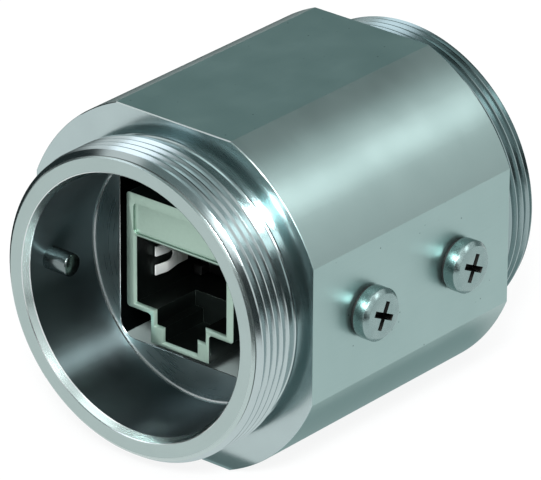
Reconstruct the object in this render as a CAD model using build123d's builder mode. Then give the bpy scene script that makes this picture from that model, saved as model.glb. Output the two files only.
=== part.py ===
from build123d import *
import os

# Inline coupler for two shielded RJ45 plugs. The housing lies along Y with the front end at -Y,
# the clamp screws face +X, and the origin is on the axis at mid-length. Millimetres.

# Housing: a turned bar with four milled flats and a threaded spigot at each end
bar_diameter = 40.0
across_flats = 37.0
body_length = 32.0
spigot_length = 6.8
thread_diameter = 34.0
thread_length = 5.0
thread_start_chamfer = 0.8
undercut_depth = 0.8

# Plug socket bored into each end, and the pocket milled through the web between the two
bore_diameter = 28.3
bore_depth = 10.7
lead_in_width = 0.45
lead_in_depth = 0.75
pocket_width = 21.0
pocket_height = 20.2
pocket_corner = 2.0

# Key pin pressed into the wall of each socket
key_pin_diameter = 2.5
key_pin_setback = 4.0
key_pin_protrusion = 3.0
key_pin_seat_depth = 1.85
key_pin_chamfer = 0.12

# Jack shell, one casting for both ends. Heights are from the axis, depths from the mid-plane
shell_setback = 7.9
cavity_width = 12.0
cavity_height = 7.45
cavity_top = 3.4
side_wall = 1.15
floor_wall = 0.65
header_height = 4.9
header_wall = 1.0
header_front_wall = 2.5
latch_step_width = 6.5
latch_step_depth = 1.75
latch_slot_width = 4.34
latch_slot_depth = 1.6
latch_slot_length = 6.3
foot_wall = 0.65
foot_floor = 0.55
shell_corner = 0.4
mouth_chamfer = 0.25
panel_width = 12.54
panel_height = 3.4
panel_depth = 0.3
panel_rail = 0.4
panel_corner = 0.5

# Circuit board that joins the two jacks back to back
board_thickness = 1.6
board_clearance = 0.15

# Contact block and its eight contacts
block_clearance = 0.1
block_length = 3.8
nose_width = 9.2
nose_height = 1.0
nose_reach = 11.6
block_foot_width = 1.1
block_foot_height = 1.05
block_foot_reach = 5.76
contact_count = 8
contact_pitch = 1.02
contact_width = 0.35
contact_thickness = 0.25
contact_bend = 0.55
contact_bend_reach = 11.0
contact_slope = 10.0
contact_free_length = 7.1
groove_width = 0.5
groove_depth = 0.6
comb_height = 2.6
comb_depth = 1.2

# Forked shield springs on the side walls of the cavity
spring_thickness = 0.2
spring_height = 3.25
spring_reach = 12.0
spring_tip_length = 1.6
spring_ramp_length = 2.0
spring_seat_length = 1.6
spring_bow = 0.4
spring_tip_lift = 0.1
spring_bend = 1.2
fork_gap = 1.03
fork_length = 2.75

# Carrier moulded round the two jacks, with ears that hold the screw inserts
carrier_clearance = 0.1
carrier_length = 13.0
ear_height = 7.0
ear_margin = 0.75
shell_fit = 0.1

# Clamp screws, their seals and threaded inserts
screw_spacing = 14.7
screw_diameter = 3.0
screw_hole_diameter = 3.4
screw_head_diameter = 5.7
screw_head_height = 1.75
screw_head_chamfer = 0.45
recess_span = 3.1
recess_width = 0.65
recess_depth = 1.1
recess_taper = 8.0
recess_turn = -26.0
seal_diameter = 5.3
seal_thickness = 0.45
insert_diameter = 4.2
dimple_depth = 0.2
dimple_clearance = 0.1

# Worked out from the sizes above
half_body = body_length / 2
end_face = half_body + spigot_length
flat_face = across_flats / 2
thread_radius = thread_diameter / 2
undercut_radius = thread_radius - undercut_depth
bore_radius = bore_diameter / 2
bore_floor = end_face - bore_depth
key_pin_place = end_face - key_pin_setback
pin_seat_radius = bore_radius + key_pin_seat_depth

board_face = board_thickness / 2
shell_face = end_face - shell_setback
shell_half_width = cavity_width / 2 + side_wall
shell_top = cavity_top + header_height
cavity_bottom = cavity_top - cavity_height
cavity_middle = (cavity_top + cavity_bottom) / 2
shoulder_level = cavity_bottom - floor_wall
latch_step_bottom = cavity_bottom - latch_step_depth
latch_slot_bottom = latch_step_bottom - latch_slot_depth
foot_half_width = latch_step_width / 2 + foot_wall
foot_bottom = latch_slot_bottom - foot_floor
panel_middle = cavity_top + panel_rail + panel_height / 2

block_face = board_face + block_length
block_top = cavity_top - block_clearance
block_bottom = cavity_bottom + block_clearance
block_half_width = cavity_width / 2 - block_clearance
groove_top = block_top - nose_height + groove_depth
contact_level = groove_top - contact_thickness / 2
comb_top = block_top - nose_height

spring_line = cavity_width / 2 - spring_thickness / 2
spring_ramp_start = spring_reach - spring_tip_length - spring_ramp_length

carrier_half_width = pocket_width / 2 - carrier_clearance
carrier_half_height = pocket_height / 2 - carrier_clearance
ear_inner = shell_half_width + shell_fit
ear_reach = screw_spacing / 2 + insert_diameter / 2 + ear_margin
insert_length = carrier_half_width - ear_inner
head_seat = flat_face + seal_thickness
screw_tip = shell_half_width - dimple_depth

screw_places = {"front": -screw_spacing / 2, "rear": screw_spacing / 2}


def export(piece, name):
    """Label a finished piece and write it as its own STEP file."""
    piece.label = name
    export_step(piece, f"parts/{name}.step")


def export_at_both_ends(piece, name):
    """Write one piece twice: as modelled at the front, and turned half round Z for the rear."""
    export(piece, name.format(end="front"))
    export(piece.rotate(Axis.Z, 180), name.format(end="rear"))


def jack_outline(margin):
    """End view of the jack, a wide head over a narrow foot, grown by a margin all round."""
    head = shell_half_width + margin
    foot = foot_half_width + margin
    with BuildSketch() as outline:
        with BuildLine():
            Polyline(
                (-head, shell_top + margin),
                (head, shell_top + margin),
                (head, shoulder_level - margin),
                (foot, shoulder_level - margin),
                (foot, foot_bottom - margin),
                (-foot, foot_bottom - margin),
                (-foot, shoulder_level - margin),
                (-head, shoulder_level - margin),
                close=True,
            )
        make_face()
        at_shoulder = outline.vertices().group_by(Axis.Y)[1]
        inner_corners = at_shoulder.sort_by(Axis.X)[1:3]
        fillet(inner_corners, radius=shell_corner)
    return outline.sketch


os.makedirs("parts", exist_ok=True)


# Housing: turned section, milled flats, bored sockets, milled pocket, drilled holes
with BuildPart() as housing:
    with BuildSketch():
        with BuildLine():
            Polyline(
                (0, 0),
                (bar_diameter / 2, 0),
                (bar_diameter / 2, half_body),
                (undercut_radius, half_body),
                (undercut_radius, end_face - thread_length),
                (thread_radius, end_face - thread_length),
                (thread_radius, end_face - thread_start_chamfer),
                (thread_radius - thread_start_chamfer, end_face),
                (0, end_face),
                close=True,
            )
        make_face()
        mirror(about=Plane.XZ)
    revolve(axis=Axis.Y)

    with BuildSketch(Plane.XZ):
        Circle(bar_diameter)
        Rectangle(across_flats, across_flats, mode=Mode.SUBTRACT)
    extrude(amount=half_body, both=True, mode=Mode.SUBTRACT)

    with BuildSketch():
        with BuildLine():
            Polyline(
                (0, bore_floor),
                (bore_radius, bore_floor),
                (bore_radius, end_face - lead_in_depth),
                (bore_radius + lead_in_width, end_face),
                (0, end_face),
                close=True,
            )
        make_face()
        mirror(about=Plane.XZ)
    revolve(axis=Axis.Y, mode=Mode.SUBTRACT)

    with BuildSketch(Plane.XZ):
        RectangleRounded(pocket_width, pocket_height, pocket_corner)
    extrude(amount=bore_floor, both=True, mode=Mode.SUBTRACT)

    with BuildSketch(Plane.YZ.offset(pocket_width / 2 - carrier_clearance)):
        with Locations([(place, 0) for place in screw_places.values()]):
            Circle(screw_hole_diameter / 2)
    extrude(amount=flat_face, mode=Mode.SUBTRACT)

    for side in (-1, 1):
        with BuildSketch(Plane.YZ.offset(side * pin_seat_radius)):
            with Locations((side * key_pin_place, 0)):
                Circle(key_pin_diameter / 2)
        extrude(amount=-side * (key_pin_seat_depth + lead_in_width), mode=Mode.SUBTRACT)
export(housing.part, "housing")


# Key pin: its root in the wall of the socket, its chamfered tip towards the axis
with BuildPart() as key_pin:
    with BuildSketch(Plane.YZ.offset(-pin_seat_radius)):
        with Locations((-key_pin_place, 0)):
            Circle(key_pin_diameter / 2)
    extrude(amount=key_pin_seat_depth + key_pin_protrusion)
    chamfer(key_pin.edges().sort_by(Axis.X)[-1], length=key_pin_chamfer)
export_at_both_ends(key_pin.part, "key_pin_{end}")


# Jack shell: a thin-walled casting, open at the face for the plug and cored from behind
with BuildPart() as jack_shell:
    with BuildSketch(Plane.XZ.offset(board_face)):
        add(jack_outline(0))
    extrude(amount=shell_face - board_face)
    head_sides = jack_shell.faces().filter_by(Axis.X).filter_by(lambda face: face.center().Z > 0)
    fillet(head_sides.edges().filter_by(Axis.Y), radius=shell_corner)

    with BuildSketch(Plane.XZ.offset(board_face)):
        with Locations((0, cavity_middle)):
            Rectangle(cavity_width, cavity_height)
    extrude(amount=shell_face - board_face, mode=Mode.SUBTRACT)

    with BuildSketch(Plane.XZ.offset(shell_face)):
        with Locations((0, cavity_bottom)):
            Rectangle(latch_step_width, latch_step_depth, align=(Align.CENTER, Align.MAX))
        with Locations((0, latch_step_bottom)):
            Rectangle(latch_slot_width, latch_slot_depth, align=(Align.CENTER, Align.MAX))
    extrude(amount=-latch_slot_length, mode=Mode.SUBTRACT)
    mouth = jack_shell.faces().sort_by(Axis.Y)[0].inner_wires()[0].edges()
    chamfer(mouth, length=mouth_chamfer)

    with BuildSketch(Plane.XZ.offset(board_face)):
        with Locations((0, cavity_top + header_height / 2)):
            Rectangle(2 * (shell_half_width - header_wall), header_height - 2 * header_wall)
    extrude(amount=shell_face - board_face - header_front_wall, mode=Mode.SUBTRACT)

    with BuildSketch(Plane.XZ.offset(shell_face)):
        with Locations((0, panel_middle)):
            RectangleRounded(panel_width, panel_height, panel_corner)
    extrude(amount=-panel_depth, mode=Mode.SUBTRACT)

    for side in (-1, 1):
        with BuildSketch(Plane.YZ.offset(side * shell_half_width)):
            with Locations((-screw_spacing / 2, 0)):
                Circle(screw_diameter / 2 + dimple_clearance)
        extrude(amount=-side * dimple_depth, mode=Mode.SUBTRACT)
export_at_both_ends(jack_shell.part, "jack_shell_{end}")


# Circuit board: fills the end view of the jacks and lies between them
with BuildPart() as circuit_board:
    with BuildSketch(Plane.XZ):
        add(jack_outline(-board_clearance))
    extrude(amount=board_face, both=True)
export(circuit_board.part, "circuit_board")


# Contact block: closes the back of the cavity, with a grooved nose that runs under its roof
with BuildPart() as contact_block:
    with BuildSketch(Plane.XZ.offset(board_face)):
        with Locations((0, cavity_middle)):
            Rectangle(2 * block_half_width, block_top - block_bottom)
    extrude(amount=block_length)

    with BuildSketch(Plane.XZ.offset(block_face)):
        with Locations((0, block_top)):
            Rectangle(nose_width, nose_height, align=(Align.CENTER, Align.MAX))
    extrude(amount=nose_reach - block_face)

    with BuildSketch(Plane.XZ.offset(block_face)):
        with Locations((-block_half_width, block_bottom)):
            Rectangle(block_foot_width, block_foot_height, align=Align.MIN)
        with Locations((block_half_width, block_bottom)):
            Rectangle(block_foot_width, block_foot_height, align=(Align.MAX, Align.MIN))
    extrude(amount=block_foot_reach - block_face)

    with BuildSketch(Plane.XZ.offset(board_face)):
        with Locations((0, groove_top)):
            with GridLocations(contact_pitch, 0, contact_count, 1):
                Rectangle(groove_width, groove_depth, align=(Align.CENTER, Align.MAX))
    extrude(amount=nose_reach - board_face, mode=Mode.SUBTRACT)

    with BuildSketch(Plane.XZ.offset(block_face)):
        with Locations((0, comb_top)):
            with GridLocations(contact_pitch, 0, contact_count, 1):
                Rectangle(groove_width, comb_height, align=(Align.CENTER, Align.MAX))
    extrude(amount=-comb_depth, mode=Mode.SUBTRACT)
export_at_both_ends(contact_block.part, "contact_block_{end}")


# Contacts: flat wires that lie in the grooves, turn back at the nose and slope into the comb
for number in range(contact_count):
    place = (number - (contact_count - 1) / 2) * contact_pitch
    with BuildPart() as contact:
        with BuildSketch(Plane.YZ.offset(place - contact_width / 2)):
            with BuildLine():
                lead = Line((-board_face, contact_level), (-contact_bend_reach, contact_level))
                turn_back = JernArc(lead @ 1, lead % 1, contact_bend, 180 - contact_slope)
                Line(turn_back @ 1, turn_back @ 1 + (turn_back % 1) * contact_free_length)
            trace(line_width=contact_thickness)
        extrude(amount=contact_width)
    export_at_both_ends(contact.part, f"contact_{{end}}_{number + 1}")


# Shield springs: sheet bowed in from the side wall, forked where the plug enters
with BuildPart() as shield_spring:
    with BuildSketch(Plane.XY.offset(cavity_middle - spring_height / 2)):
        with BuildLine():
            FilletPolyline(
                (-spring_line, -spring_ramp_start + spring_seat_length),
                (-spring_line, -spring_ramp_start),
                (spring_bow - spring_line, spring_tip_length - spring_reach),
                (spring_tip_lift - spring_line, -spring_reach),
                radius=spring_bend,
            )
        trace(line_width=spring_thickness)
    extrude(amount=spring_height)

    with BuildSketch(Plane.YZ.offset(-cavity_width / 2)):
        with Locations((-spring_reach, cavity_middle)):
            Rectangle(2 * fork_length - fork_gap, fork_gap)
        with Locations((fork_length - fork_gap / 2 - spring_reach, cavity_middle)):
            Circle(fork_gap / 2)
    extrude(amount=cavity_width / 2, mode=Mode.SUBTRACT)
export_at_both_ends(shield_spring.part, "shield_spring_{end}_left")
export_at_both_ends(mirror(shield_spring.part, about=Plane.YZ), "shield_spring_{end}_right")


# Carrier: fills the pocket, bored to the outline of the jacks, with two ears towards each end
with BuildPart() as insert_carrier:
    with BuildSketch(Plane.XZ):
        RectangleRounded(2 * carrier_half_width, 2 * carrier_half_height, pocket_corner - carrier_clearance)
    extrude(amount=carrier_length / 2, both=True)

    with BuildSketch(Plane.XZ):
        with Locations((-carrier_half_width, 0)):
            Rectangle(carrier_half_width - ear_inner, ear_height, align=(Align.MIN, Align.CENTER))
        with Locations((carrier_half_width, 0)):
            Rectangle(carrier_half_width - ear_inner, ear_height, align=(Align.MAX, Align.CENTER))
    extrude(amount=ear_reach, both=True)

    with BuildSketch(Plane.XZ):
        add(jack_outline(shell_fit))
    extrude(amount=ear_reach, both=True, mode=Mode.SUBTRACT)

    with BuildSketch(Plane.YZ.offset(carrier_half_width)):
        with Locations([(place, 0) for place in screw_places.values()]):
            Circle(insert_diameter / 2)
    extrude(amount=-insert_length, mode=Mode.SUBTRACT)
export(insert_carrier.part, "insert_carrier")


# Screw hardware at each end: threaded insert, seal ring and pan-head clamp screw
for end, place in screw_places.items():
    with BuildPart() as threaded_insert:
        with BuildSketch(Plane.YZ.offset(carrier_half_width)):
            with Locations((place, 0)):
                Circle(insert_diameter / 2)
                Circle(screw_diameter / 2, mode=Mode.SUBTRACT)
        extrude(amount=-insert_length)
    export(threaded_insert.part, f"threaded_insert_{end}")

    with BuildPart() as screw_seal:
        with BuildSketch(Plane.YZ.offset(flat_face)):
            with Locations((place, 0)):
                Circle(seal_diameter / 2)
                Circle(screw_diameter / 2, mode=Mode.SUBTRACT)
        extrude(amount=seal_thickness)
    export(screw_seal.part, f"screw_seal_{end}")

    with BuildPart() as clamp_screw:
        with BuildSketch(Plane.YZ.offset(screw_tip)):
            with Locations((place, 0)):
                Circle(screw_diameter / 2)
        extrude(amount=head_seat - screw_tip)
        with BuildSketch(Plane.YZ.offset(head_seat)):
            with Locations((place, 0)):
                Circle(screw_head_diameter / 2)
        extrude(amount=screw_head_height)
        chamfer(clamp_screw.edges().sort_by(Axis.X)[-1], length=screw_head_chamfer)
        with BuildSketch(Plane.YZ.offset(head_seat + screw_head_height)):
            with Locations(Location((place, 0), recess_turn)):
                Rectangle(recess_span, recess_width)
                Rectangle(recess_width, recess_span)
        extrude(amount=-recess_depth, taper=recess_taper, mode=Mode.SUBTRACT)
    export(clamp_screw.part, f"clamp_screw_{end}")
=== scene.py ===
import logging
import math
from dataclasses import dataclass
from enum import Enum
from typing import Callable, Optional

import bmesh
import bpy
from mathutils import Matrix, Vector


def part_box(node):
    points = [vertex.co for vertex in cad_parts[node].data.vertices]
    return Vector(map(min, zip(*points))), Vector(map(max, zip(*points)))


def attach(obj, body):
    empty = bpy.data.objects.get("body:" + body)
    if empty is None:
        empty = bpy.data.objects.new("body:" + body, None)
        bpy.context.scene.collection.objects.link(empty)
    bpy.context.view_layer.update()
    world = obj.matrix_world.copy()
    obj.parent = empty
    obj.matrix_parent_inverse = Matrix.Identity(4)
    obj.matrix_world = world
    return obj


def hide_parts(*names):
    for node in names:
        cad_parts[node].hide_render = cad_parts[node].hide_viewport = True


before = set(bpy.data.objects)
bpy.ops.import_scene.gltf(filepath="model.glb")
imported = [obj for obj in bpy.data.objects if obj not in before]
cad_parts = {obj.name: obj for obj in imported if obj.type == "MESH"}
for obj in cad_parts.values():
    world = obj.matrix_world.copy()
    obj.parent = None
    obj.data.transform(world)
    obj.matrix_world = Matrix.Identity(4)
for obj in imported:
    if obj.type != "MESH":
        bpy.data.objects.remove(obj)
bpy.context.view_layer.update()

# Looks of a stainless-steel inline coupler for two shielded RJ45 plugs. Sizes are in millimetres and
# become metres when a mesh is made. The axis lies along Y with the front end at -Y, and Z is up.

MM = 0.001
BODY = "root"

# A quarter turn, so that marks round the axis stretch a light across them
ACROSS_THE_MARKS = 0.25

# The sum of two noise patterns mostly lies between these
NOISE_LOW = 0.6
NOISE_HIGH = 1.4

# The first keeps a division clear of zero, and the second tells a flat from an arc
TINY = 1e-9
SAME_RADIUS = 1e-6

log = logging.getLogger("coupler")


def linear(colour: str) -> tuple[float, float, float, float]:
    """Turn an sRGB hex colour into Blender's linear values.

    Args:
        colour: six hex digits after a hash sign.

    Returns:
        Red, green, blue and an alpha of 1.
    """
    parts = [int(colour[start:start + 2], 16) / 255 for start in (1, 3, 5)]
    turned = [part / 12.92 if part <= 0.04045 else ((part + 0.055) / 1.055) ** 2.4 for part in parts]
    return (turned[0], turned[1], turned[2], 1.0)


def add_node(
    tree: bpy.types.NodeTree, kind: str, inputs: Optional[dict] = None, **settings: object
) -> bpy.types.Node:
    """Add a shader node with its settings, values and links.

    Args:
        tree: node tree that takes the node.
        kind: the node's type, without its ShaderNode prefix.
        inputs: values or sockets for the node's inputs, by name or number.
        settings: properties of the node itself.

    Returns:
        The new node.
    """
    node = tree.nodes.new("ShaderNode" + kind)
    for name, value in settings.items():
        setattr(node, name, value)
    for key, value in (inputs or {}).items():
        if isinstance(value, bpy.types.NodeSocket):
            tree.links.new(value, node.inputs[key])
        else:
            node.inputs[key].default_value = value
    return node


class Lay(Enum):
    """Which way a machined surface's marks run."""

    AROUND = "around the axis, on a turned wall"
    RINGS = "in rings round the axis, on a faced end"
    ALONG = "along the axis, on a ground flat"
    EVEN = "the same every way, on a blasted or cast face"


@dataclass(frozen=True)
class Metal:
    """A bare or plated metal, with the marks its making left.

    The marks are drawn twice: as a fine grain that breaks up the gloss, and as wide soft clouds in
    the colour and the roughness, as a ground or handled face has. The body is 1 for a clean metal
    mirror and less for a torn or blasted face, which also scatters light as paint does. Pits are tiny
    dark nicks, about as far apart as their value, and pit_fade is how many times wider a pit is than
    its dark middle.
    """

    name: str
    light: str
    dark: str
    roughness: float
    lay: Lay = Lay.EVEN
    grain: float = 0.12
    stretch: float = 40.0
    grain_depth: float = 0.0006
    gloss_spread: float = 0.08
    cloud: float = 6.0
    anisotropy: float = 0.0
    body: float = 1.0
    pits: float = 0.0
    pit_radius: float = 0.11
    pit_fade: float = 3.0
    pit_colour: str = "#4c5958"

    def grain_place(self, tree: bpy.types.NodeTree) -> bpy.types.NodeSocket:
        """Give the coordinates of the grain, in grains.

        Args:
            tree: node tree of the material.

        Returns:
            A vector socket, stretched along the marks.
        """
        here = add_node(tree, "TexCoord").outputs["Object"]
        fine = 1 / (self.grain * MM)
        long = fine / self.stretch
        if self.lay is Lay.RINGS:
            apart = add_node(tree, "SeparateXYZ", {0: here})
            flat = add_node(tree, "CombineXYZ", {0: apart.outputs["X"], 2: apart.outputs["Z"]})
            radius = add_node(tree, "VectorMath", {0: flat.outputs[0]}, operation="LENGTH")
            turn = add_node(tree, "Math", {0: apart.outputs["X"], 1: apart.outputs["Z"]}, operation="ARCTAN2")
            rings = add_node(tree, "Math", {0: radius.outputs["Value"], 1: fine}, operation="MULTIPLY")
            return add_node(tree, "CombineXYZ", {0: rings.outputs[0], 1: turn.outputs[0]}).outputs[0]
        scales = {Lay.AROUND: (long, fine, long), Lay.ALONG: (fine, long, fine), Lay.EVEN: (fine, fine, fine)}
        return add_node(tree, "VectorMath", {0: here, 1: scales[self.lay]}, operation="MULTIPLY").outputs[0]

    def material(self) -> bpy.types.Material:
        """Make the material, or give the one already made.

        Returns:
            The Blender material.
        """
        known = bpy.data.materials.get(self.name)
        if known:
            return known
        made = bpy.data.materials.new(self.name)
        made.use_nodes = True
        tree = made.node_tree
        shader = tree.nodes["Principled BSDF"]
        here = add_node(tree, "TexCoord").outputs["Object"]
        clouds = add_node(tree, "TexNoise", {"Vector": here, "Scale": 1 / (self.cloud * MM), "Detail": 3.0})
        colour = add_node(tree, "Mix", {
            0: clouds.outputs["Fac"], 6: linear(self.dark), 7: linear(self.light),
        }, data_type="RGBA")
        if self.pits:
            nicks = add_node(tree, "TexVoronoi", {"Vector": here, "Scale": 1 / (self.pits * MM)})
            near = self.pit_radius / self.pits
            depth = add_node(tree, "MapRange", {
                "Value": nicks.outputs["Distance"], "From Min": near / self.pit_fade, "From Max": near,
            })
            colour = add_node(tree, "Mix", {
                0: depth.outputs[0], 6: linear(self.pit_colour), 7: colour.outputs[2],
            }, data_type="RGBA")
        marks = add_node(tree, "TexNoise", {"Vector": self.grain_place(tree), "Scale": 1.0, "Detail": 2.0})
        mixed = add_node(tree, "Math", {0: marks.outputs["Fac"], 1: clouds.outputs["Fac"]}, operation="ADD")
        gloss = add_node(tree, "MapRange", {
            "Value": mixed.outputs[0], "From Min": NOISE_LOW, "From Max": NOISE_HIGH,
            "To Min": self.roughness - self.gloss_spread, "To Max": self.roughness + self.gloss_spread,
        })
        bump = add_node(tree, "Bump", {"Height": marks.outputs["Fac"], "Distance": self.grain_depth * MM})
        shader.inputs["Metallic"].default_value = self.body
        shader.inputs["Anisotropic"].default_value = self.anisotropy
        shader.inputs["Anisotropic Rotation"].default_value = ACROSS_THE_MARKS
        tree.links.new(colour.outputs[2], shader.inputs["Base Color"])
        tree.links.new(gloss.outputs[0], shader.inputs["Roughness"])
        tree.links.new(bump.outputs[0], shader.inputs["Normal"])
        if self.anisotropy:
            around = add_node(tree, "Tangent", direction_type="RADIAL", axis="Y")
            tree.links.new(around.outputs[0], shader.inputs["Tangent"])
        return made


@dataclass(frozen=True)
class Moulded:
    """A moulded, coated or vulcanised surface that is not metal."""

    name: str
    light: str
    dark: str
    roughness: float
    grain: float = 0.08
    grain_depth: float = 0.01
    ior: float = 1.5

    def material(self) -> bpy.types.Material:
        """Make the material, or give the one already made.

        Returns:
            The Blender material.
        """
        known = bpy.data.materials.get(self.name)
        if known:
            return known
        made = bpy.data.materials.new(self.name)
        made.use_nodes = True
        tree = made.node_tree
        shader = tree.nodes["Principled BSDF"]
        here = add_node(tree, "TexCoord").outputs["Object"]
        marks = add_node(tree, "TexNoise", {"Vector": here, "Scale": 1 / (self.grain * MM), "Detail": 3.0})
        colour = add_node(tree, "Mix", {0: marks.outputs["Fac"], 6: linear(self.dark), 7: linear(self.light)},
                          data_type="RGBA")
        bump = add_node(tree, "Bump", {"Height": marks.outputs["Fac"], "Distance": self.grain_depth * MM})
        shader.inputs["Roughness"].default_value = self.roughness
        shader.inputs["IOR"].default_value = self.ior
        tree.links.new(colour.outputs[2], shader.inputs["Base Color"])
        tree.links.new(bump.outputs[0], shader.inputs["Normal"])
        return made


# Stainless steel, turned on a lathe: smooth, with fine rings that stretch a light across them
TURNED_BAR = Metal("stainless_turned_bar", "#a2b8b6", "#96adab", 0.31, Lay.AROUND, grain_depth=0.0002,
                   gloss_spread=0.03, anisotropy=0.9)
CUT_THREAD = Metal("stainless_cut_thread", "#b6c4c5", "#a8b6b7", 0.17, Lay.AROUND, gloss_spread=0.03,
                   grain_depth=0.0002)
# Painted shade: the bore's wall is coloured much darker than the turned bar, for the shade inside the bore
SHADED_BORE_WALL = Metal("stainless_bored_wall_painted_shade", "#5d6b6d", "#4e5b5d", 0.34, Lay.AROUND, gloss_spread=0.05,
                   anisotropy=1.0)
# Stainless steel, faced on a lathe: rings round the axis, which spread a light into a fan
FACED_SHOULDER = Metal("stainless_faced_shoulder", "#b3c3c3", "#a4b3b4", 0.17, Lay.RINGS, grain_depth=0.0002,
                       gloss_spread=0.03, anisotropy=0.5)
FACED_FLOOR = Metal("stainless_faced_floor", "#a3b4b5", "#92a3a5", 0.3, Lay.RINGS, anisotropy=0.6)
FACED_RIM = Metal("stainless_faced_rim", "#acbcba", "#a0b0ae", 0.4, Lay.RINGS, gloss_spread=0.05)
TURNED_CHAMFER = Metal("stainless_turned_chamfer", "#b6c5c3", "#a9b9b7", 0.26, Lay.RINGS, gloss_spread=0.05)
# Painted shade: the rear thread is a darker, slightly rougher copy of the cut thread, so that it mirrors the
# lamps less
SHADED_REAR_THREAD = Metal("stainless_cut_thread_painted_shade", "#95a7a8", "#849697", 0.18, Lay.AROUND, grain_depth=0.0002,
                    gloss_spread=0.03)
# Painted shade: the root of the thread is darker and duller than its flanks, so that each groove reads as a
# dark line
SHADED_THREAD_ROOT = Metal("stainless_cut_root_painted_shade", "#66706f", "#555f5e", 0.3, Lay.AROUND, grain_depth=0.0002,
                 gloss_spread=0.03)
# Stainless steel, surface-ground: dull and cloudy, with fine marks along the length
GROUND_FLAT = Metal("stainless_ground_flat", "#9bb3b1", "#8ea7a5", 0.36, Lay.ALONG, gloss_spread=0.06,
                    pits=1.6)
# Stainless steel, milled in the pocket: dull and grey. Its walls are coloured nearly black as painted shade
MILLED_POCKET = Metal("stainless_milled_pocket", "#a3b2b0", "#93a2a0", 0.7, Lay.AROUND, body=0.5)
SHADED_POCKET_WALL = Metal("stainless_pocket_wall_painted_shade", "#1a2121", "#101616", 0.5, Lay.EVEN)
# Stainless steel at its broken and filed edges: thin bright lines
BRIGHT_EDGE = Metal("stainless_broken_edge", "#d5dcdc", "#c8d0d0", 0.22, Lay.EVEN)
FILED_EDGE = Metal("stainless_filed_edge", "#ccd6d6", "#bcc8c8", 0.25, Lay.EVEN)
# Hardened steel pin, ground and a little darker than the housing
GROUND_PIN = Metal("dowel_steel_ground", "#7c8888", "#6a7575", 0.22, Lay.EVEN)
# Zinc die casting under matt nickel plate: greenish grey, grainy
MATT_NICKEL = Metal("die_casting_matt_nickel", "#adc5b8", "#98b0a4", 0.42, Lay.EVEN, grain=0.25,
                    grain_depth=0.02)
# The same plate along its bevelled edges: smoother, and lighter in colour as a painted highlight
NICKEL_EDGE_HIGHLIGHT = Metal("die_casting_nickel_edge_painted_highlight", "#c6d9ce", "#b3c7bb", 0.3, Lay.EVEN)
# Painted shade: the port behind a jack's face and a screw's recess, coloured nearly black for the shade that
# falls in them
SHADED_PORT = Metal("die_casting_port_painted_shade", "#39423f", "#262d2b", 0.4, Lay.EVEN)
SHADED_RECESS = Metal("screw_recess_painted_shade", "#20201f", "#121312", 0.4, Lay.EVEN)
# Spring strip, rolled: nearly white, and soft rather than mirroring
SPRING_STRIP = Metal("spring_strip_rolled", "#f4f8f6", "#e6ecea", 0.5, Lay.ALONG, body=0.4)
# Screw steel under nickel plate: grey and half glossy, with faint clouds
PLATED_SCREW = Metal("screw_steel_nickel_plated", "#93a8a7", "#7b9190", 0.25, Lay.EVEN, grain=0.2, cloud=1.2)
# Wire under gold plate, and turned brass: yellow, with a clear shine
GOLD_WIRE = Metal("contact_wire_gold_plated", "#e3c06f", "#d4ae58", 0.20, Lay.ALONG)
TURNED_BRASS = Metal("insert_brass_turned", "#d9b56a", "#c39d52", 0.28, Lay.EVEN)
# Moulded nylon and rubber: black with a soft sheen, and the rubber the duller of the two
BLACK_NYLON = Moulded("nylon_moulded_black", "#0a0d0d", "#050606", 0.5)
SEAL_RUBBER = Moulded("rubber_moulded_black", "#0d0f0f", "#070808", 0.6)
# Laminate under a green mask: smoother than the mouldings
SOLDER_MASK = Moulded("laminate_green_mask", "#1c5a35", "#144428", 0.35)


class Zone(Enum):
    """A finish zone of the housing, with the steel finish that it has, some darkened as painted shade."""

    POCKET = MILLED_POCKET
    POCKET_WALL = SHADED_POCKET_WALL
    FLOOR = FACED_FLOOR
    BORE = SHADED_BORE_WALL
    RIM = FACED_RIM
    CHAMFER = TURNED_CHAMFER
    THREAD = CUT_THREAD
    REAR_THREAD_SHADE = SHADED_REAR_THREAD
    ROOT = SHADED_THREAD_ROOT
    SHOULDER = FACED_SHOULDER
    EDGE = BRIGHT_EDGE
    BODY_EDGE = FILED_EDGE
    BODY_ARC = TURNED_BAR
    BODY_FLAT = GROUND_FLAT


def make_object(name: str, mesh: bpy.types.Mesh) -> bpy.types.Object:
    """Put a finished mesh in the scene as a piece of the coupler.

    Args:
        name: name of the piece.
        mesh: its mesh, in metres in the row frame.

    Returns:
        The new object, riding on the one body.
    """
    piece = bpy.data.objects.new(name, mesh)
    bpy.context.scene.collection.objects.link(piece)
    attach(piece, BODY)
    log.info("made %s with %d faces", name, len(mesh.polygons))
    return piece


@dataclass
class Station:
    """One ring of the housing's skin: its depth and radius at each angle, and the zone after it."""

    depth: Callable[[float], float]
    radius: Callable[[float], float]
    zone: Zone


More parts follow.
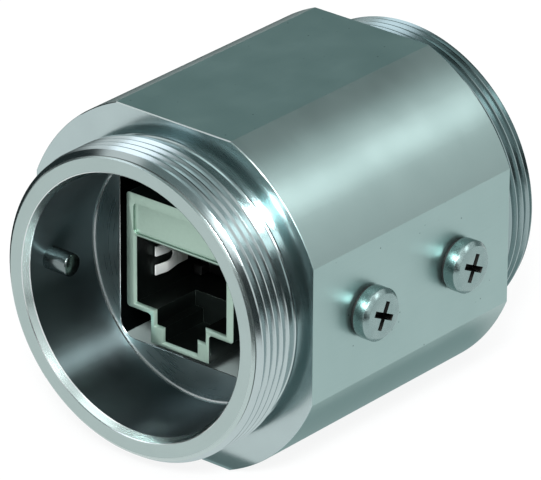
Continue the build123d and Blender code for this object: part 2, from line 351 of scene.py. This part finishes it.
@dataclass
class Housing:
    """The turned, milled and threaded body, as rings of points that all share one list of angles.

    Depths run inwards from an end face. The front half is built, and the rear half is the same half
    turned about Z, so that both threads are right-handed.
    """

    bar_radius: float = 20.0
    flat_face: float = 18.5
    half_length: float = 22.8
    spigot: float = 6.8
    edge_break: float = 0.1
    sharp_edge: float = 0.03
    thread_radius: float = 17.0
    thread_end: float = 5.0
    start_chamfer: float = 0.8
    undercut_radius: float = 16.2
    undercut_fillet: float = 0.3
    pitch: float = 1.0
    crest_flat: float = 0.14
    root_flat: float = 0.2
    flank_rise: float = math.tan(math.radians(60))
    first_groove: float = 0.72
    groove_count: int = 6
    seam: float = 225.0
    bore_radius: float = 14.15
    bore_depth: float = 10.7
    lead_in_width: float = 0.45
    lead_in_depth: float = 0.75
    corner_break: float = 0.06
    pocket_half_width: float = 10.5
    pocket_half_height: float = 10.1
    pocket_corner: float = 2.0
    pocket_floor: float = 0.71
    filed_above: float = 0.78
    columns: int = 240
    run_out: float = 0.3
    floor_fillet: float = 0.25
    floor_fillet_middle: float = 0.07
    weld_reach: float = 0.0004
    sharp_above: float = 14.0

    def angles(self) -> list[float]:
        """List the angles of the columns, from the seam once round against the thread's rise.

        Returns:
            Angles in degrees from +X towards +Z, falling from the seam by a whole turn.
        """
        flat_edge = math.degrees(math.acos(self.flat_face / self.bar_radius))
        side = math.degrees(math.atan2(self.pocket_half_height - self.pocket_corner, self.pocket_half_width))
        top = math.degrees(math.atan2(self.pocket_half_height, self.pocket_half_width - self.pocket_corner))
        special = [flat_edge, 90 - flat_edge, side, top]
        full = {round(step * 360 / self.columns, 4) for step in range(self.columns)}
        for angle in special:
            full |= {round(turned % 360, 4) for turned in (angle, -angle, 180 - angle, 180 + angle)}
        once = [angle if angle <= self.seam else angle - 360 for angle in full]
        return sorted(once, reverse=True) + [self.seam - 360]

    def outline(self, angle: float) -> float:
        """Give the body's radius at an angle, on its flats or its arcs."""
        turned = math.radians(angle)
        return min(self.bar_radius, self.flat_face / max(abs(math.cos(turned)), abs(math.sin(turned))))

    def edge(self, angle: float) -> float:
        """Give the width of the body's broken edge: filed along the top, and nearly sharp elsewhere."""
        return self.edge_break if math.sin(math.radians(angle)) > self.filed_above else self.sharp_edge

    def pocket(self, angle: float) -> float:
        """Give the radius of the pocket's rounded rectangle at an angle.

        Args:
            angle: angle in degrees from +X.

        Returns:
            Distance from the axis to the pocket's wall.
        """
        across, up = abs(math.cos(math.radians(angle))), abs(math.sin(math.radians(angle)))
        corner = self.pocket_corner
        centre = Vector((self.pocket_half_width - corner, self.pocket_half_height - corner))
        reach = min(self.pocket_half_width / max(across, TINY), self.pocket_half_height / max(up, TINY))
        if reach * across > centre.x and reach * up > centre.y:
            middle = across * centre.x + up * centre.y
            reach = middle + math.sqrt(middle ** 2 - centre.length_squared + corner ** 2)
        return reach

    def turn(self, angle: float) -> float:
        """Give how much of a turn an angle is past the seam, from 0 to 1."""
        return (self.seam - angle) / 360

    def groove_depth(self) -> float:
        """Give how deep a whole groove is, from its crest to its root."""
        return (self.pitch - self.crest_flat - self.root_flat) / 2 * self.flank_rise

    def groove_share(self, number: int, angle: float) -> float:
        """Give a groove's depth as a share, which fades at the thread's end.

        Args:
            number: which turn, counted from the end face.
            angle: angle in degrees from +X.

        Returns:
            0 for no groove, 1 for its full depth.
        """
        if number < self.groove_count - 1:
            return 1.0
        return min(1.0, max(0.0, 1 - self.turn(angle) / self.run_out))

    def groove_edge(self, number: int, angle: float, offset: float) -> float:
        """Give the depth of a line along a groove, kept within the thread.

        The start chamfer cuts a groove's outer flank, so its outer line lies where the two cross.

        Args:
            number: which turn, counted from the end face.
            angle: angle in degrees from +X.
            offset: how far the line is from the groove's middle.

        Returns:
            The line's depth from the end face.
        """
        middle = self.first_groove + self.pitch * (number - 1 + self.turn(angle))
        edge, root = middle + offset, self.root_flat / 2
        if offset < -root:
            crossing = self.start_chamfer - self.groove_depth() + self.flank_rise * (middle - root)
            edge = max(edge, crossing / (1 + self.flank_rise))
        return min(max(edge, 2 * self.corner_break), self.thread_end - self.corner_break)

    def groove_stations(self, number: int) -> list[Station]:
        """Make the rings of one turn of the thread: a V groove with a flat root.

        Args:
            number: which turn, counted from the end face.

        Returns:
            The rings, in order of depth.
        """
        half = (self.pitch - self.crest_flat) / 2
        root = self.root_flat / 2
        depth = self.groove_depth()
        rings = []
        lines = (
            (-half, 0.0, Zone.THREAD),
            (-root, depth, Zone.ROOT),
            (root, depth, Zone.THREAD),
            (half, 0.0, Zone.THREAD),
        )
        for offset, drop, zone in lines:
            def place(angle: float, offset: float = offset) -> float:
                """Give the depth of a line along the groove."""
                return self.groove_edge(number, angle, offset)

            def radius(angle: float, drop: float = drop, place: Callable[[float], float] = place) -> float:
                """Give the radius of a line along the groove, cut back by the start chamfer."""
                chamfered = self.thread_radius - self.start_chamfer + place(angle)
                return min(self.thread_radius - drop * self.groove_share(number, angle), chamfered)
            rings.append(Station(place, radius, zone))
        return rings

    def level(self, depth: float, radius: float, zone: Zone) -> Station:
        """Make a plain round ring."""
        return Station(lambda angle: depth, lambda angle: radius, zone)

    def profile(self) -> list[Station]:
        """List the rings of the front half, from the pocket's middle out over the end and back.

        Returns:
            The rings in order round the section.
        """
        brk = self.corner_break
        bore, floor = self.bore_radius, self.bore_depth
        rim_in, rim_out = bore + self.lead_in_width, self.thread_radius - self.start_chamfer
        root, shoulder = self.undercut_radius, self.spigot
        rings = [
            Station(lambda angle: self.half_length, self.pocket, Zone.POCKET),
            Station(lambda angle: floor + brk, self.pocket, Zone.EDGE),
            Station(lambda angle: floor, lambda angle: self.pocket(angle) + brk, Zone.FLOOR),
            self.level(floor, bore - self.floor_fillet, Zone.EDGE),
            self.level(floor - self.floor_fillet_middle, bore - self.floor_fillet_middle, Zone.EDGE),
            self.level(floor - self.floor_fillet, bore, Zone.BORE),
            self.level(floor / 2, bore, Zone.BORE),
            self.level(self.lead_in_depth + brk, bore, Zone.EDGE),
            self.level(self.lead_in_depth - brk, bore + brk, Zone.CHAMFER),
            self.level(brk, rim_in - brk / 2, Zone.EDGE),
            self.level(0.0, rim_in + brk, Zone.RIM),
            self.level(0.0, rim_out - brk, Zone.CHAMFER),
            self.level(brk, rim_out + brk / 2, Zone.CHAMFER),
        ]
        for number in range(self.groove_count):
            rings += self.groove_stations(number)
        rings += [
            self.level(self.thread_end, self.thread_radius - 2 * self.corner_break, Zone.THREAD),
            self.level(self.thread_end, root, Zone.THREAD),
            self.level(shoulder - self.undercut_fillet, root, Zone.THREAD),
        ]
        for part in (1 / 3, 2 / 3, 1):
            turned = part * math.pi / 2
            rings.append(self.level(
                shoulder - self.undercut_fillet * (1 - math.sin(turned)),
                root + self.undercut_fillet * (1 - math.cos(turned)),
                Zone.SHOULDER if part == 1 else Zone.THREAD,
            ))
        rings += [
            Station(
                lambda angle: shoulder, lambda angle: self.outline(angle) - self.edge(angle), Zone.BODY_EDGE
            ),
            Station(lambda angle: shoulder + self.edge(angle), self.outline, Zone.BODY_ARC),
            Station(lambda angle: self.half_length, self.outline, Zone.BODY_ARC),
        ]
        return rings

    def zone_at(self, zone: Zone, angle: float, rear: bool) -> Zone:
        """Give a ring's zone at an angle: flats on the body, and a bright floor in a pocket whose walls are
        painted dark as shade.

        Args:
            zone: zone of the ring.
            angle: angle in degrees from +X.
            rear: whether the ring is in the rear half, whose thread takes the darker copy as painted shade.

        Returns:
            The zone that the face there has.
        """
        height = math.sin(math.radians(angle))
        # The rear thread takes the darker copy of the steel, as painted shade
        if zone is Zone.THREAD and rear:
            return Zone.REAR_THREAD_SHADE
        # The pocket's walls take a nearly black colour as painted shade, and its floor keeps the milled steel
        if zone is Zone.POCKET and height > -self.pocket_floor:
            return Zone.POCKET_WALL
        if zone is Zone.BODY_EDGE and height < self.filed_above:
            return Zone.BODY_FLAT
        if zone is Zone.BODY_ARC and self.outline(angle) < self.bar_radius - SAME_RADIUS:
            return Zone.BODY_FLAT
        return zone

    def build(self) -> bpy.types.Object:
        """Build both halves of the skin and join them at the middle.

        Returns:
            The housing piece, which stands for the CAD node.
        """
        rings, angles = self.profile(), self.angles()
        zones = list(Zone)
        shape = bmesh.new()
        for rear in (False, True):
            sign = -1 if rear else 1
            grid = []
            for angle in angles:
                turned = math.radians(angle)
                column = []
                for ring in rings:
                    radius, depth = ring.radius(angle), ring.depth(angle)
                    place = Vector((sign * radius * math.cos(turned), sign * (depth - self.half_length),
                                    radius * math.sin(turned)))
                    column.append(shape.verts.new(place * MM))
                grid.append(column)
            for step, (here, there) in enumerate(zip(grid, grid[1:])):
                middle = (angles[step] + angles[step + 1]) / 2
                for row, ring in enumerate(rings[:-1]):
                    face = shape.faces.new((here[row], here[row + 1], there[row + 1], there[row]))
                    face.material_index = zones.index(self.zone_at(ring.zone, middle, rear))
                    face.smooth = True
        bmesh.ops.remove_doubles(shape, verts=shape.verts, dist=self.weld_reach * MM)
        bmesh.ops.recalc_face_normals(shape, faces=shape.faces)
        mesh = bpy.data.meshes.new("housing_turned")
        shape.to_mesh(mesh)
        shape.free()
        for zone in zones:
            mesh.materials.append(zone.value.material())
        mesh.set_sharp_from_angle(angle=math.radians(self.sharp_above))
        piece = make_object("housing_turned", mesh)
        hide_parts("housing")
        return piece


@dataclass
class CadPieces:
    """The CAD nodes whose shape is right: they keep it, with softened edges and their finishes, and painted
    shade in their hollows.
    """

    segments: int = 2
    weld_reach: float = 0.001
    bevel_above: float = 30.0
    panel_back: float = 14.4
    screw_place: float = 7.35
    recess_floor: float = 19.5
    recess_top: float = 20.65
    recess_reach: float = 1.8

    def soften(self, piece: bpy.types.Object, width: float) -> None:
        """Weld a CAD node's split corners and round its sharp edges.

        Args:
            piece: the CAD node's object.
            width: width of the rounding, in millimetres.
        """
        weld = piece.modifiers.new("weld", "WELD")
        weld.merge_threshold = self.weld_reach * MM
        bevel = piece.modifiers.new("edge", "BEVEL")
        bevel.width = width * MM
        bevel.segments = self.segments
        bevel.limit_method = "ANGLE"
        bevel.angle_limit = math.radians(self.bevel_above)
        bevel.harden_normals = True

    def paint_hollow_shade(self, node: bpy.types.Object, finish: Metal, inside: Callable[[Vector], bool]) -> None:
        """Paint shade on the faces of a CAD node that lie inside a hollow, as a second, dark material.

        Args:
            node: the CAD node's object.
            finish: the dark material that paints the hollow's shade.
            inside: tells from a face's middle, in millimetres, whether it is in the hollow.
        """
        node.data.materials.append(finish.material())
        dark = len(node.data.materials) - 1
        for face in node.data.polygons:
            if inside(face.center / MM):
                face.material_index = dark

    def behind_face(self, middle: Vector) -> bool:
        """Tell whether a point of a jack's shell is behind its face, in the port or in the carrier."""
        return abs(middle.y) < self.panel_back

    def in_recess(self, middle: Vector) -> bool:
        """Tell whether a point is in the cross recess of a screw."""
        across = math.hypot(abs(middle.y) - self.screw_place, middle.z)
        return self.recess_floor < middle.x < self.recess_top and across < self.recess_reach

    def dress(self) -> None:
        """Give every CAD node that stays shown its finish."""
        finishes = {
            "jack_shell": (MATT_NICKEL, 0.08),
            "contact_block": (BLACK_NYLON, 0.05),
            "contact": (GOLD_WIRE, 0.03),
            "shield_spring": (SPRING_STRIP, 0.03),
            "circuit_board": (SOLDER_MASK, 0.05),
            "insert_carrier": (BLACK_NYLON, 0.15),
            "threaded_insert": (TURNED_BRASS, 0.05),
            "screw_seal": (SEAL_RUBBER, 0.08),
            "clamp_screw": (PLATED_SCREW, 0.1),
            "key_pin": (GROUND_PIN, 0.08),
        }
        for name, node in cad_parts.items():
            family = max((key for key in finishes if name.startswith(key)), key=len, default=None)
            if family is None:
                continue
            finish, width = finishes[family]
            node.data.materials.clear()
            node.data.materials.append(finish.material())
            for face in node.data.polygons:
                face.use_smooth = True
            if finish is MATT_NICKEL:
                # The port behind the jack's face is painted dark as shade
                self.paint_hollow_shade(node, SHADED_PORT, self.behind_face)
                node.data.materials.append(NICKEL_EDGE_HIGHLIGHT.material())
            if finish is PLATED_SCREW:
                # The screw's cross recess is painted dark as shade
                self.paint_hollow_shade(node, SHADED_RECESS, self.in_recess)
            self.soften(node, width)
            if finish is MATT_NICKEL:
                # The bevel faces take the lighter colour, a painted highlight along the edges
                node.modifiers["edge"].material = len(node.data.materials) - 1
            log.info("dressed %s as %s", name, finish.name)


@dataclass(frozen=True)
class SkyCard:
    """A coloured card far off in the studio, as a round soft-edged patch of the sky."""

    towards: tuple[float, float, float]
    inner: float
    outer: float
    colour: str


@dataclass(frozen=True)
class FloorCard:
    """A dark card lying on the floor, which only the steel sees. Its corners are in millimetres."""

    name: str
    low: tuple[float, float]
    high: tuple[float, float]
    colour: str


@dataclass(frozen=True)
class Softbox:
    """A square lamp that faces the coupler."""

    name: str
    towards: tuple[float, float, float]
    distance: float
    size: float
    watts: float
    colour: str = "#ffffff"


@dataclass
class Studio:
    """A white studio: pale floor, white background, softboxes, and dark cards that the steel mirrors."""

    sky_cards: tuple[SkyCard, ...] = (
        SkyCard((-0.36, 0.75, 0.56), 26, 40, "#7f9292"),
        SkyCard((-0.07, 0.70, 0.71), 7, 15, "#141a1a"),
        SkyCard((-0.03, 0.93, 0.37), 8, 16, "#1c2424"),
        SkyCard((0.20, 0.97, 0.10), 18, 28, "#8f9b9b"),
        SkyCard((0.62, -0.75, -0.05), 19, 26, "#2b3536"),
        SkyCard((0.36, -0.93, -0.08), 9, 16, "#1c2425"),
        SkyCard((0.96, 0.20, 0.10), 8, 14, "#1a2122"),
        SkyCard((-0.97, 0.0, 0.15), 22, 32, "#2a3334"),
        SkyCard((-0.15, -0.70, 0.70), 20, 28, "#748383"),
    )
    floor_cards: tuple[FloorCard, ...] = (
        # Painted shadow: these two cards stand for the floor's shade round the coupler's foot, as the steel
        # mirrors it
        FloorCard("card_under_painted_shadow", (-22, -16.5), (22, 22), "#aebfbf"),
        FloorCard("card_contact_painted_shadow", (-12, -19), (12, -16.5), "#7d8c8c"),
        FloorCard("card_front_right", (40, -2900), (2900, -56), "#2a3334"),
        FloorCard("card_right", (330, -56), (2900, 1200), "#1f2728"),
        FloorCard("card_left", (-2900, -30), (-46, 1000), "#2a3334"),
        FloorCard("card_back", (-70, 40), (0, 130), "#4c5858"),
    )
    softboxes: tuple[Softbox, ...] = (
        Softbox("softbox_key", (0.453, -0.655, 0.604), 1.0, 0.18, 12.0),
        Softbox("softbox_right", (0.60, -0.69, 0.40), 1.0, 0.12, 0.25),
        Softbox("softbox_top_right", (0.64, 0.27, 0.72), 1.0, 0.24, 0.65),
        Softbox("softbox_bore", (0.55, -0.50, 0.67), 1.0, 0.2, 1.5),
        Softbox("softbox_left", (-0.60, -0.70, 0.38), 1.0, 0.3, 0.38, "#eef1ff"),
        Softbox("softbox_above", (-0.1, -0.2, 1.0), 1.2, 0.7, 2.2),
    )
    shadow: float = 0.12
    card_lift: float = 0.05
    floor_gap: float = 0.1
    floor_reach: float = 3.0

    def seen_directly(self, tree: bpy.types.NodeTree) -> bpy.types.NodeSocket:
        """Give 1 for the rays that show the background itself: camera, glossy and transmission rays.

        Args:
            tree: node tree that takes the nodes.

        Returns:
            A value socket.
        """
        path = add_node(tree, "LightPath").outputs
        first = add_node(tree, "Math", {
            0: path["Is Camera Ray"], 1: path["Is Glossy Ray"],
        }, operation="MAXIMUM")
        both = add_node(tree, "Math", {
            0: first.outputs[0], 1: path["Is Transmission Ray"],
        }, operation="MAXIMUM")
        return both.outputs[0]

    def world(self) -> None:
        """Make the sky: white to the camera, and white with its cards to the steel and the floor."""
        world = bpy.data.worlds.new("studio")
        bpy.context.scene.world = world
        world.use_nodes = True
        tree = world.node_tree
        tree.nodes.clear()
        towards = add_node(tree, "TexCoord").outputs["Generated"]
        colour = linear("#ffffff")
        for card in self.sky_cards:
            facing = add_node(tree, "VectorMath", {0: towards, 1: Vector(card.towards).normalized()},
                              operation="DOT_PRODUCT")
            share = add_node(tree, "MapRange", {
                "Value": facing.outputs["Value"],
                "From Min": math.cos(math.radians(card.outer)),
                "From Max": math.cos(math.radians(card.inner)),
            }, interpolation_type="SMOOTHSTEP")
            colour = add_node(tree, "Mix", {0: share.outputs[0], 6: colour, 7: linear(card.colour)},
                              data_type="RGBA").outputs[2]
        camera = add_node(tree, "LightPath").outputs["Is Camera Ray"]
        seen = add_node(tree, "Mix", {0: camera, 6: colour, 7: linear("#ffffff")}, data_type="RGBA")
        sky = add_node(tree, "Background", {"Color": seen.outputs[2]})
        add_node(tree, "OutputWorld", {0: sky.outputs[0]})

    def lay(
        self, name: str, low: tuple[float, float], high: tuple[float, float], level: float
    ) -> bpy.types.Object:
        """Lay a flat sheet on a level, as part of the stage.

        Args:
            name: name of the sheet.
            low: its lower corner in X and Y, in metres.
            high: its upper corner in X and Y, in metres.
            level: its height, in metres.

        Returns:
            The sheet.
        """
        mesh = bpy.data.meshes.new(name)
        corners = [(low[0], low[1], level), (high[0], low[1], level), (high[0], high[1], level),
                   (low[0], high[1], level)]
        mesh.from_pydata(corners, [], [(0, 1, 2, 3)])
        sheet = bpy.data.objects.new(name, mesh)
        bpy.context.scene.collection.objects.link(sheet)
        return sheet

    def floor(self) -> None:
        """Make the pale floor, nearly white to the camera and the steel, with a faint shadow."""
        reach = self.floor_reach
        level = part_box("housing")[0].z - self.floor_gap * MM
        paint = bpy.data.materials.new("floor_white_paint")
        paint.use_nodes = True
        tree = paint.node_tree
        tree.nodes.clear()
        share = add_node(tree, "Math", {
            0: self.seen_directly(tree), 1: 1 - self.shadow,
        }, operation="MULTIPLY")
        matt = add_node(tree, "BsdfDiffuse", {"Color": linear("#e9eded")})
        white = add_node(tree, "Emission")
        both = add_node(tree, "MixShader", {0: share.outputs[0], 1: matt.outputs[0], 2: white.outputs[0]})
        add_node(tree, "OutputMaterial", {0: both.outputs[0]})
        self.lay("floor", (-reach, -reach), (reach, reach), level).data.materials.append(paint)
        for card in self.floor_cards:
            low, high = [tuple(side * MM for side in corner) for corner in (card.low, card.high)]
            sheet = self.lay(card.name, low, high, level + self.card_lift * MM)
            sheet.visible_camera = sheet.visible_diffuse = sheet.visible_shadow = False
            dark = bpy.data.materials.new(card.name)
            dark.use_nodes = True
            dark.node_tree.nodes.clear()
            glow = add_node(dark.node_tree, "Emission", {"Color": linear(card.colour)})
            add_node(dark.node_tree, "OutputMaterial", {0: glow.outputs[0]})
            sheet.data.materials.append(dark)

    def hang(self, softbox: Softbox) -> None:
        """Hang a softbox so that it faces the coupler.

        Args:
            softbox: the lamp's size, place and power.
        """
        lamp = bpy.data.lights.new(softbox.name, "AREA")
        lamp.shape = "SQUARE"
        lamp.size = softbox.size
        lamp.energy = softbox.watts
        lamp.color = linear(softbox.colour)[:3]
        box = bpy.data.objects.new(softbox.name, lamp)
        towards = Vector(softbox.towards).normalized()
        box.location = towards * softbox.distance
        box.rotation_mode = "QUATERNION"
        box.rotation_quaternion = towards.to_track_quat("Z", "Y")
        bpy.context.scene.collection.objects.link(box)

    def build(self) -> None:
        """Set up the sky, the floor and the softboxes."""
        self.world()
        self.floor()
        for softbox in self.softboxes:
            self.hang(softbox)


@dataclass(frozen=True)
class Viewpoint:
    """The photograph's view: a long lens, above and to the right of the front end."""

    place: tuple[float, float, float] = (0.38732, -0.46881, 0.28668)
    right: tuple[float, float, float] = (0.768971, 0.639260, 0.005547)
    up: tuple[float, float, float] = (-0.276822, 0.325145, 0.904240)
    lens: float = 431.1
    sensor: float = 36.0
    nearest: float = 0.05
    farthest: float = 20.0

    def build(self) -> None:
        """Make the camera and look through it."""
        camera = bpy.data.cameras.new("camera")
        camera.lens = self.lens
        camera.sensor_width = self.sensor
        camera.clip_start = self.nearest
        camera.clip_end = self.farthest
        eye = bpy.data.objects.new("camera", camera)
        right, up = Vector(self.right), Vector(self.up)
        turn = Matrix((right, up, right.cross(up))).transposed()
        eye.matrix_world = Matrix.Translation(self.place) @ turn.to_4x4()
        bpy.context.scene.collection.objects.link(eye)
        bpy.context.scene.camera = eye


def main() -> None:
    """Build the coupler's pieces in order, then the studio and the camera."""
    logging.basicConfig(level=logging.INFO, format="%(message)s")
    bpy.context.scene.view_settings.view_transform = "Standard"
    Housing().build()
    CadPieces().dress()
    Studio().build()
    Viewpoint().build()


if __name__ == "__main__":
    main()
